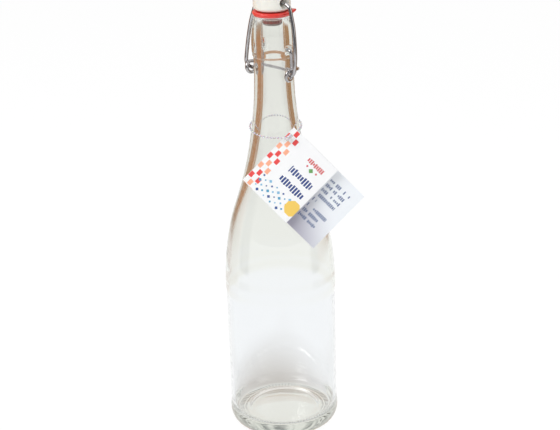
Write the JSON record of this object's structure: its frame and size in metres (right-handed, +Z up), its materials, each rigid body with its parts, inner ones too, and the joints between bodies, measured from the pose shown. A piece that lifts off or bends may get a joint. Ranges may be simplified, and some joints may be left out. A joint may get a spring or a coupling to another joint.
{
  "type": "swing top bottle",
  "caption": "Clear glass swing top bottle with a porcelain stopper, a rubber washer, a wire bail and lever that lock it down, and a folded card tag on a nylon loop.",
  "frame": {"origin": "middle of the base on the bottle's axis, on the surface it stands on", "axes": "+Z up along the bottle's axis, X along the hinge axis of the wire closure, +Y towards the thumb bar at the back of the neck"},
  "size_m": [0.1037, 0.0804, 0.328],
  "materials": {
    "glass": "clear, fire polished",
    "porcelain": "glossy glaze",
    "rubber": "satin",
    "wire": "bright drawn wire",
    "nylon": "clear moulded",
    "card": "coated, printed"
  },
  "bodies": {
    "glass_body": {"bottle": "glass"},
    "lever": {"lever": "wire"},
    "bail": {"bail": "wire"},
    "stopper": {"stopper": "porcelain", "washer": "rubber"},
    "tag_loop": {"tag_loop": "nylon"},
    "tag_back": {"tag_back_leaf": "card"},
    "tag_front": {"tag_front_leaf": "card"}
  },
  "joints": [
    {"name": "lever_swing", "type": "hinge", "parent": "glass_body", "child": "lever", "pos_m": [0, 0, 0.2845], "axis": [1, 0, 0], "range_deg": [0, 95]},
    {"name": "bail_swing", "type": "hinge", "parent": "lever", "child": "bail", "pos_m": [0, -0.0037, 0.268], "axis": [1, 0, 0], "range_deg": [-66, 0]},
    {"name": "stopper_tilt", "type": "hinge", "parent": "bail", "child": "stopper", "pos_m": [0, 0, 0.317], "axis": [1, 0, 0], "range_deg": [-30, 0]},
    {"name": "tag_turn", "type": "hinge", "parent": "glass_body", "child": "tag_loop", "pos_m": [0, 0, 0.227], "axis": [0, 0, 1], "continuous": true},
    {"name": "tag_lift", "type": "hinge", "parent": "tag_loop", "child": "tag_back", "pos_m": [0.02006, -0.00734, 0.225], "axis": [-0.7071, -0.7071, 0], "range_deg": [0, 25]},
    {"name": "tag_open", "type": "hinge", "parent": "tag_back", "child": "tag_front", "pos_m": [0.01857, -0.00868, 0.2262], "axis": [-0.3953, -0.6254, -0.6727], "range_deg": [-5, 12]}
  ],
  "couplings": [
    {"joint": "bail_swing", "follows": "lever_swing", "ratio": -0.69},
    {"joint": "stopper_tilt", "follows": "lever_swing", "ratio": -0.31}
  ]
}
